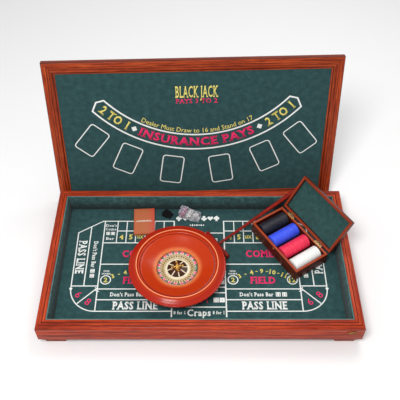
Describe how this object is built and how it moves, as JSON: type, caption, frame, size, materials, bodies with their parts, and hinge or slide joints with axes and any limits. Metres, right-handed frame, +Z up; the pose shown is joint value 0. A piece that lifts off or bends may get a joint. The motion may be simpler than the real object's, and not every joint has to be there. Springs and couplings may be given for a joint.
{
  "type": "tabletop craps table with reversible top",
  "caption": "Tabletop craps table: a felted wooden tray on bracket feet, its reversible card-game top, roulette wheel, hinged chip box, stick, cards and dice.",
  "frame": {"origin": "on the surface the set stands on, under the middle of the whole set (tray and leaning top together)", "axes": "+X along the tray to the player's right, +Y away from the player towards the leaning top, +Z up"},
  "size_m": [0.844, 0.6389, 0.4389],
  "materials": {
    "tray_wood": "satin varnish, cherry red-brown stain",
    "top_wood": "satin varnish, cherry red-brown stain",
    "box_wood": "gloss varnish, dark cherry stain",
    "plywood": "bare",
    "gaming_felt": "printed felt",
    "liner_felt": "felt",
    "brass": "polished",
    "steel": "turned",
    "orange_lacquer": "high gloss",
    "number_ring": "printed, semi gloss",
    "pocket_plastic": "semi gloss",
    "black_chips": "satin",
    "blue_chips": "satin",
    "red_chips": "satin",
    "white_chips": "satin",
    "card_paper": "coated board",
    "white_paper": "paper",
    "clear_film": "clear film",
    "red_dice": "translucent, polished",
    "white_dice": "polished",
    "black_cloth": "soft cloth"
  },
  "bodies": {
    "tray": {"tray_front_rail": "tray_wood", "tray_back_rail": "tray_wood", "tray_left_rail": "tray_wood", "tray_right_rail": "tray_wood", "bottom_panel": "plywood", "craps_felt": "gaming_felt", "liner_front_pad": "liner_felt", "liner_back_pad": "liner_felt", "liner_left_pad": "liner_felt", "liner_right_pad": "liner_felt", "foot_front_left": "tray_wood", "foot_front_right": "tray_wood", "foot_back_left": "tray_wood", "foot_back_right": "tray_wood", "oval_plate": "brass"},
    "top": {"top_front_rail": "top_wood", "top_back_rail": "top_wood", "top_left_rail": "top_wood", "top_right_rail": "top_wood", "top_core": "plywood", "card_game_felt": "gaming_felt", "roulette_felt": "gaming_felt"},
    "wheel": {"wheel_bowl": "orange_lacquer", "spindle": "steel"},
    "rotor": {"rotor_disc": "number_ring", "rotor_bush": "brass", "pocket_ring": "pocket_plastic", "turret": "brass"},
    "chip_box": {"box_front_wall": "box_wood", "box_back_wall": "box_wood", "box_left_wall": "box_wood", "box_right_wall": "box_wood", "chip_insert": "box_wood", "hinge_left_box_leaf": "brass", "hinge_right_box_leaf": "brass"},
    "chip_lid": {"lid_front_rail": "box_wood", "lid_back_rail": "box_wood", "lid_left_rail": "box_wood", "lid_right_rail": "box_wood", "lid_panel": "box_wood", "lid_felt": "liner_felt", "hinge_left_lid_leaf": "brass", "hinge_right_lid_leaf": "brass"},
    "black_row": {"chips_black": "black_chips"},
    "blue_row": {"chips_blue": "blue_chips"},
    "red_row": {"chips_red": "red_chips"},
    "white_row": {"chips_white": "white_chips"},
    "rake": {"rake_head": "box_wood", "rake_handle": "box_wood"},
    "card_pack": {"card_box": "card_paper", "card_deck": "white_paper"},
    "dice_pack": {"dice_bag": "clear_film", "die_1": "red_dice", "die_2": "red_dice", "die_3": "white_dice", "die_4": "white_dice", "die_5": "white_dice"},
    "pouch": {"cloth_pouch": "black_cloth"}
  },
  "joints": [
    {"name": "top_lift", "type": "slide", "parent": "tray", "child": "top", "axis": [-0.0103, 0.2805, 0.9598], "range_m": [0, 0.2]},
    {"name": "wheel_lift", "type": "slide", "parent": "tray", "child": "wheel", "axis": [0, 0, 1], "range_m": [0, 0.1]},
    {"name": "rotor_spin", "type": "hinge", "parent": "wheel", "child": "rotor", "pos_m": [-0.05606, -0.12013, 0.045], "axis": [0, 0, 1], "continuous": true},
    {"name": "chip_box_lift", "type": "slide", "parent": "tray", "child": "chip_box", "axis": [0, 0, 1], "range_m": [0, 0.1]},
    {"name": "chip_lid_hinge", "type": "hinge", "parent": "chip_box", "child": "chip_lid", "pos_m": [0.30366, -0.00014, 0.0696], "axis": [-0.5446, 0.8387, 0], "range_deg": [-125, 0]},
    {"name": "black_row_lift", "type": "slide", "parent": "chip_box", "child": "black_row", "axis": [0, 0, 1], "range_m": [0, 0.05]},
    {"name": "blue_row_lift", "type": "slide", "parent": "chip_box", "child": "blue_row", "axis": [0, 0, 1], "range_m": [0, 0.05]},
    {"name": "red_row_lift", "type": "slide", "parent": "chip_box", "child": "red_row", "axis": [0, 0, 1], "range_m": [0, 0.05]},
    {"name": "white_row_lift", "type": "slide", "parent": "chip_box", "child": "white_row", "axis": [0, 0, 1], "range_m": [0, 0.05]},
    {"name": "rake_lift", "type": "slide", "parent": "tray", "child": "rake", "axis": [0, 0, 1], "range_m": [0, 0.1]},
    {"name": "card_pack_lift", "type": "slide", "parent": "tray", "child": "card_pack", "axis": [0, 0, 1], "range_m": [0, 0.1]},
    {"name": "dice_pack_lift", "type": "slide", "parent": "tray", "child": "dice_pack", "axis": [0, 0, 1], "range_m": [0, 0.1]},
    {"name": "pouch_lift", "type": "slide", "parent": "tray", "child": "pouch", "axis": [0, 0, 1], "range_m": [0, 0.1]}
  ]
}
